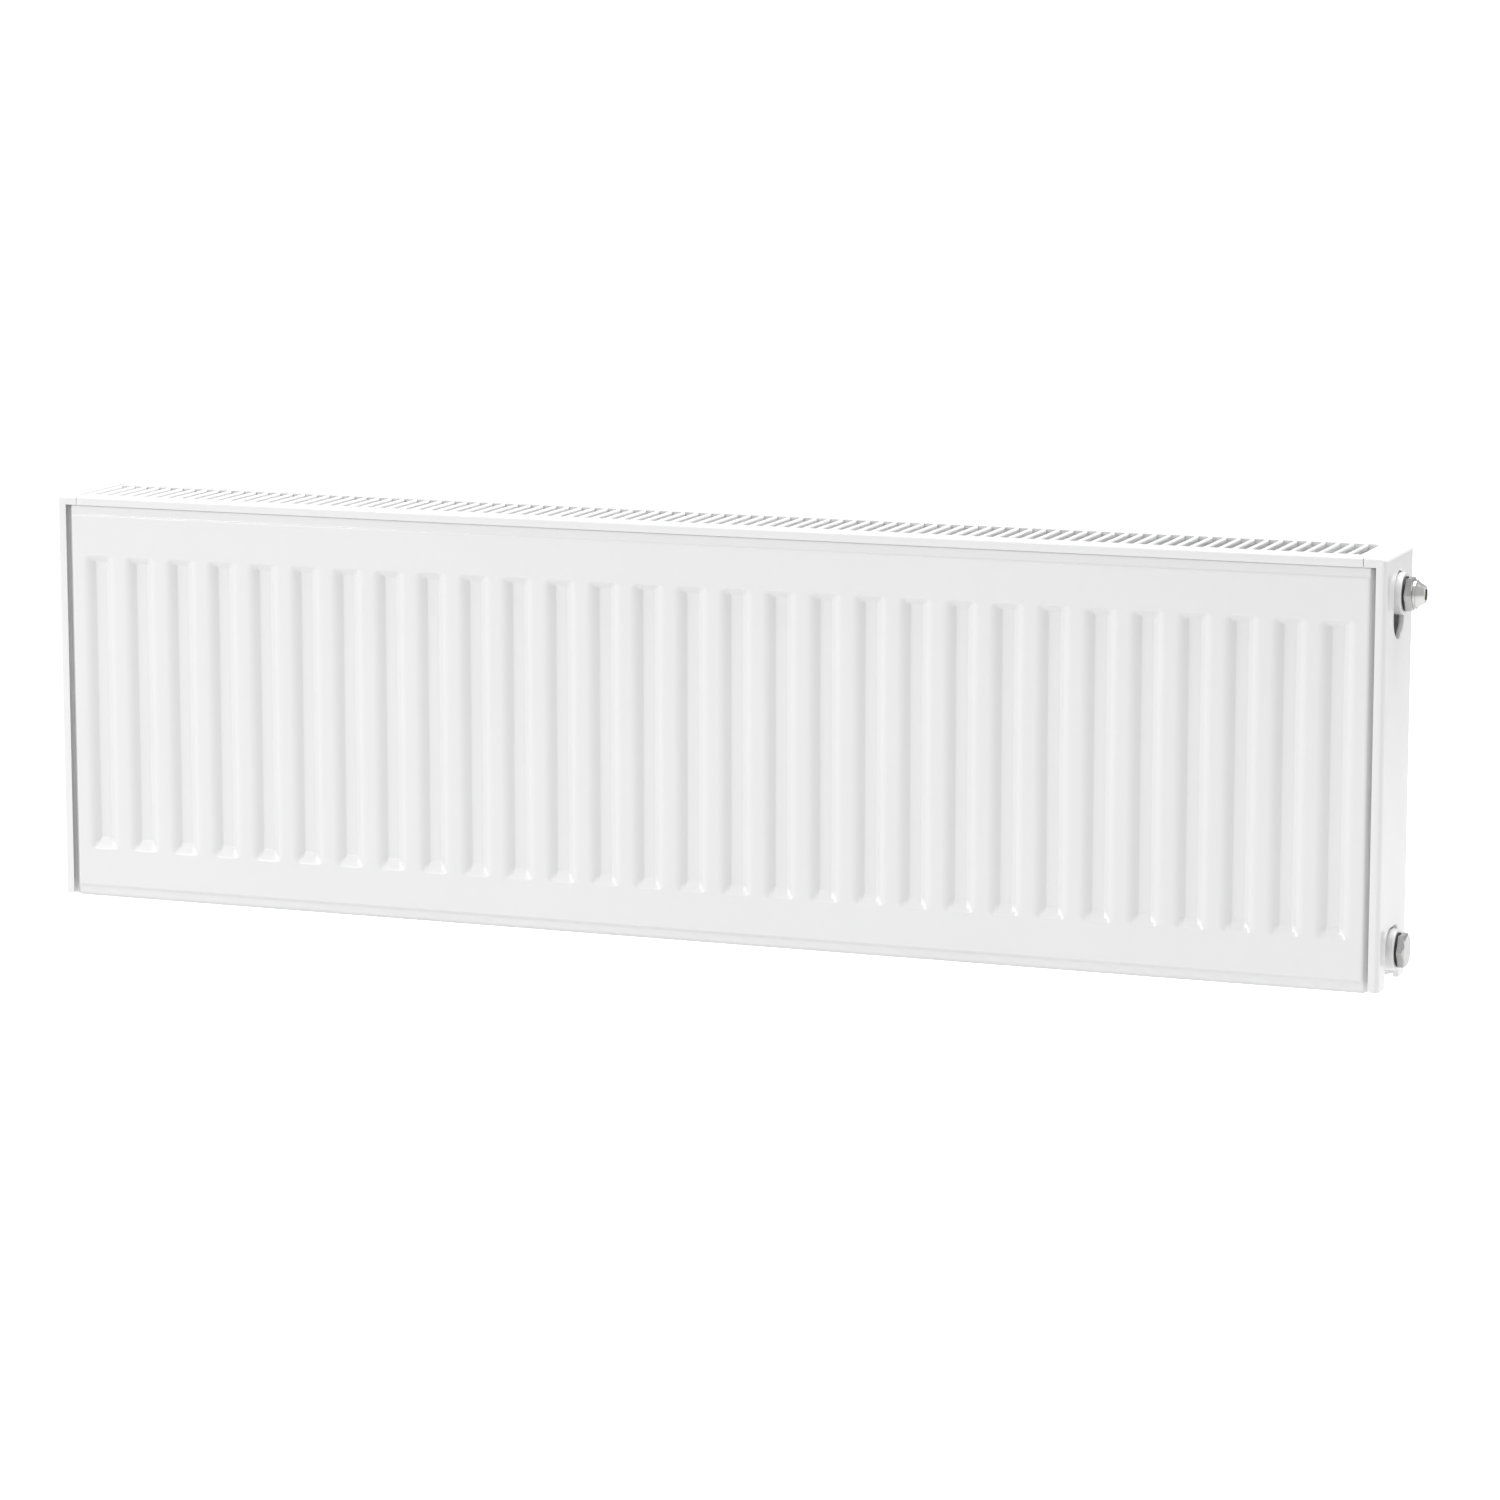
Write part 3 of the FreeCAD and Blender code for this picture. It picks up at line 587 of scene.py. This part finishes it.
class Graph:
    """Small helper round a material's node tree."""

    def __init__(self, name):
        self.material = bpy.data.materials.new(name)
        self.material.use_nodes = True
        self.tree = self.material.node_tree
        self.shader = self.tree.nodes["Principled BSDF"]
        coords = self.node("ShaderNodeTexCoord")
        self.place = coords.outputs["Object"]

    def node(self, kind, **values):
        made = self.tree.nodes.new(kind)
        for key, value in values.items():
            setattr(made, key, value)
        return made

    def link(self, a, b):
        self.tree.links.new(a, b)

    def noise(self, scale, detail=2.0, roughness=0.5, stretch=None):
        made = self.node("ShaderNodeTexNoise")
        made.inputs["Scale"].default_value = scale
        made.inputs["Detail"].default_value = detail
        made.inputs["Roughness"].default_value = roughness
        source = self.place
        if stretch:
            mapping = self.node("ShaderNodeMapping")
            mapping.inputs["Scale"].default_value = stretch
            self.link(source, mapping.inputs["Vector"])
            source = mapping.outputs["Vector"]
        self.link(source, made.inputs["Vector"])
        return made.outputs["Fac"]

    def ramp(self, value, low, high):
        """Maps 0..1 noise linearly to low..high."""
        made = self.node("ShaderNodeMapRange")
        made.inputs["From Min"].default_value = 0.3
        made.inputs["From Max"].default_value = 0.7
        made.inputs["To Min"].default_value = low
        made.inputs["To Max"].default_value = high
        self.link(value, made.inputs["Value"])
        return made.outputs["Result"]

    def tint(self, value, dark, light):
        made = self.node("ShaderNodeMix", data_type="RGBA")
        made.inputs["A"].default_value = (*dark, 1.0)
        made.inputs["B"].default_value = (*light, 1.0)
        self.link(value, made.inputs["Factor"])
        return made.outputs["Result"]

    def bump(self, heights):
        """Chains (height, strength, distance) bumps into the shader's normal."""
        last = None
        for height, strength, distance in heights:
            made = self.node("ShaderNodeBump")
            made.inputs["Strength"].default_value = strength
            made.inputs["Distance"].default_value = distance
            self.link(height, made.inputs["Height"])
            if last:
                self.link(last, made.inputs["Normal"])
            last = made.outputs["Normal"]
        self.link(last, self.shader.inputs["Normal"])


def enamel(name, tone, roughness):
    """White powder coat: fine orange peel, slow sheet ripple, dust-soft patches and a painted highlight
    on convex edges.
    """
    g = Graph(name)
    patches = g.noise(PATCH_SCALE, 3.0)
    dark = [c * PATCH_DARKENING for c in tone]
    color = g.tint(g.ramp(patches, 0.0, 1.0), dark, tone)
    # painted highlight: convex edges, found by pointiness, are mixed towards a lighter tone
    geometry = g.node("ShaderNodeNewGeometry")
    edges = g.node("ShaderNodeMapRange")
    edges.inputs["From Min"].default_value = 0.50
    edges.inputs["From Max"].default_value = 0.60
    g.link(geometry.outputs["Pointiness"], edges.inputs["Value"])
    bright = [min(1.0, c * PAINTED_EDGE_HIGHLIGHT) for c in tone]
    edge_highlight = g.node("ShaderNodeMix", data_type="RGBA")
    edge_highlight.inputs["B"].default_value = (*bright, 1.0)
    g.link(edges.outputs["Result"], edge_highlight.inputs["Factor"])
    g.link(color, edge_highlight.inputs["A"])
    g.link(edge_highlight.outputs["Result"], g.shader.inputs["Base Color"])
    sheen = g.ramp(g.noise(SHEEN_SCALE, 4.0), roughness - 0.05, roughness + 0.06)
    g.link(sheen, g.shader.inputs["Roughness"])
    g.shader.inputs["Coat Weight"].default_value = COAT_WEIGHT
    g.shader.inputs["Coat Roughness"].default_value = COAT_ROUGHNESS
    ripple_scale, ripple_strength, ripple_distance = RIPPLE
    peel_scale, peel_strength, peel_distance = ORANGE_PEEL
    g.bump([(g.noise(ripple_scale, 1.0), ripple_strength, ripple_distance),
            (g.noise(peel_scale, 2.0), peel_strength, peel_distance)])
    return g.material


def metal(name, tone, roughness, streak):
    """Bare or plated metal: fine streaks, soft stains, slightly uneven polish and painted shade in its
    crevices.
    """
    g = Graph(name)
    stains = g.noise(STAIN_SCALE, 3.0)
    dark = [c * STAIN_DARKENING for c in tone]
    # painted shade: ambient occlusion darkens the colour in crevices and hollows
    crevice_shade = g.node("ShaderNodeAmbientOcclusion")
    crevice_shade.inputs["Distance"].default_value = CREVICE_SHADE_REACH
    g.link(g.tint(g.ramp(stains, 0.0, 1.0), dark, tone), crevice_shade.inputs["Color"])
    g.link(crevice_shade.outputs["Color"], g.shader.inputs["Base Color"])
    g.shader.inputs["Metallic"].default_value = 1.0
    polish = g.ramp(g.noise(POLISH_SCALE, 3.0), roughness - 0.04, roughness + 0.05)
    g.link(polish, g.shader.inputs["Roughness"])
    streaks = g.noise(1.0, 2.0, 0.6, stretch=streak)
    g.bump([(streaks, 0.3, 0.00004), (g.noise(SCRATCH_SCALE, 2.0), 0.15, 0.00003)])
    return g.material


def rubber(name):
    """Matt black rubber with a fine grain and a greyish bloom."""
    g = Graph(name)
    bloom = g.ramp(g.noise(BLOOM_SCALE, 4.0), 0.0, 1.0)
    g.link(g.tint(bloom, RUBBER_DARK, RUBBER_BLOOM), g.shader.inputs["Base Color"])
    g.link(g.ramp(g.noise(RUBBER_SHEEN_SCALE, 3.0), 0.5, 0.7), g.shader.inputs["Roughness"])
    g.bump([(g.noise(RUBBER_GRAIN_SCALE, 3.0), 0.3, 0.00003)])
    return g.material


def paint(obj, material):
    """Puts one material on every slot of an object."""
    obj.data.materials.clear()
    obj.data.materials.append(material)


casing_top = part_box("top_grille")[1][2]
white = enamel("white_enamel", ENAMEL_TONE, roughness=0.33)
fin_white = enamel("fin_coat", FIN_TONE, roughness=0.55)
nickel = metal("nickel_plate", NICKEL_TONE, roughness=0.16, streak=TURNED_STREAK)
bright_nickel = metal("bright_nickel_plate", BRIGHT_NICKEL_TONE, roughness=0.20, streak=TURNED_STREAK)
brass = metal("plain_brass", BRASS_TONE, roughness=0.3, streak=TURNED_STREAK)
steel = metal("spring_steel", STEEL_TONE, roughness=0.35, streak=DRAWN_STREAK)
black = rubber("black_rubber")

front_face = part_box("front_panel_face")[0][1]
sheets = [pressed_sheet("front_panel_face", front_face, -1),
          pressed_sheet("front_panel_back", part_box("front_panel_back")[1][1], 1),
          pressed_sheet("rear_panel_face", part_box("rear_panel_face")[0][1], -1),
          pressed_sheet("rear_panel_back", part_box("rear_panel_back")[1][1], 1)]
for obj in sheets + [top_grille(), side_cover(1), side_cover(-1)]:
    paint(obj, white)

CAD_LOOKS = {
    "convector": fin_white,
    "tee_top_left": white, "tee_top_right": white, "tee_bottom_left": white, "tee_bottom_right": white,
    "upper_lug_left": white, "upper_lug_right": white, "lower_lug_left": white, "lower_lug_right": white,
    "vent_plug": nickel, "blank_plug": nickel, "vent_nozzle": bright_nickel, "bleed_screw": brass,
    "grille_clips": steel, "vent_plug_o_ring": black, "blank_plug_o_ring": black,
}
for name, material in CAD_LOOKS.items():
    paint(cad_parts[name], material)


def floor():
    """Large pale floor that runs out of the picture, brighter to the camera than to the object."""
    level = CAD_BOUNDS[0][2] - FLOOR_DROP
    verts = [(-FLOOR_SIZE, -FLOOR_SIZE, level), (FLOOR_SIZE, -FLOOR_SIZE, level),
             (FLOOR_SIZE, FLOOR_SIZE, level), (-FLOOR_SIZE, FLOOR_SIZE, level)]
    ground = new_object("floor", verts, [(0, 1, 2, 3)])
    g = Graph("pale_floor")
    path = g.node("ShaderNodeLightPath")
    seen = g.tint(g.ramp(g.noise(3.0, 2.0), 0.0, 1.0), FLOOR_DARK, FLOOR_PALE)
    tone = g.node("ShaderNodeMix", data_type="RGBA")
    tone.inputs["A"].default_value = (FLOOR_BOUNCE, FLOOR_BOUNCE, FLOOR_BOUNCE, 1.0)
    g.link(path.outputs["Is Camera Ray"], tone.inputs["Factor"])
    g.link(seen, tone.inputs["B"])
    g.link(tone.outputs["Result"], g.shader.inputs["Base Color"])
    g.shader.inputs["Roughness"].default_value = 0.9
    g.shader.inputs["Emission Color"].default_value = (1.0, 1.0, 1.0, 1.0)
    glow = g.node("ShaderNodeMapRange")
    glow.inputs["To Min"].default_value = FLOOR_GLOW
    glow.inputs["To Max"].default_value = FLOOR_GLOW_SEEN
    g.link(path.outputs["Is Camera Ray"], glow.inputs["Value"])
    g.link(glow.outputs["Result"], g.shader.inputs["Emission Strength"])
    paint(ground, g.material)


def area_light(name, place, size, power):
    """Soft square light aimed at the radiator."""
    data = bpy.data.lights.new(name, "AREA")
    data.shape = "SQUARE"
    data.size = size
    data.energy = power
    lamp = bpy.data.objects.new(name, data)
    lamp.location = place
    lamp.rotation_euler = (-Vector(place)).to_track_quat("-Z", "Y").to_euler()
    bpy.context.scene.collection.objects.link(lamp)


def studio():
    """Even surroundings, white where seen directly, with four soft lights."""
    world = bpy.data.worlds.new("studio")
    world.use_nodes = True
    tree = world.node_tree
    background = tree.nodes["Background"]
    background.inputs["Color"].default_value = (1.0, 1.0, 1.0, 1.0)
    path = tree.nodes.new("ShaderNodeLightPath")
    strength = tree.nodes.new("ShaderNodeMapRange")
    strength.inputs["To Min"].default_value = ROOM_LIGHT
    strength.inputs["To Max"].default_value = 1.0
    tree.links.new(path.outputs["Is Camera Ray"], strength.inputs["Value"])
    tree.links.new(strength.outputs["Result"], background.inputs["Strength"])
    bpy.context.scene.world = world
    area_light("key_light", (-3.6, -2.3, 1.6), size=2.4, power=44.0)
    area_light("strip_light", (-2.35, -3.65, 1.97), size=0.7, power=26.0)
    area_light("top_light", (0.3, 0.5, 3.1), size=2.2, power=126.0)
    area_light("right_light", (3.4, 0.9, 1.3), size=1.8, power=10.0)
    view = bpy.context.scene.view_settings
    view.view_transform = "Standard"
    view.look = "None"


def camera():
    """Long lens looking slightly down on the radiator from its right."""
    data = bpy.data.cameras.new("camera")
    data.sensor_width = CAMERA_SENSOR
    data.lens = CAMERA_LENS
    data.clip_end = CAMERA_FAR
    eye = bpy.data.objects.new("camera", data)
    eye.location = (CAMERA_RIGHT, front_face - CAMERA_BACK, CAD_BOUNDS[0][2] + CAMERA_RISE)
    eye.rotation_euler = (math.pi / 2 + CAMERA_PITCH, 0.0, CAMERA_YAW)
    bpy.context.scene.collection.objects.link(eye)
    bpy.context.scene.camera = eye


floor()
studio()
camera()
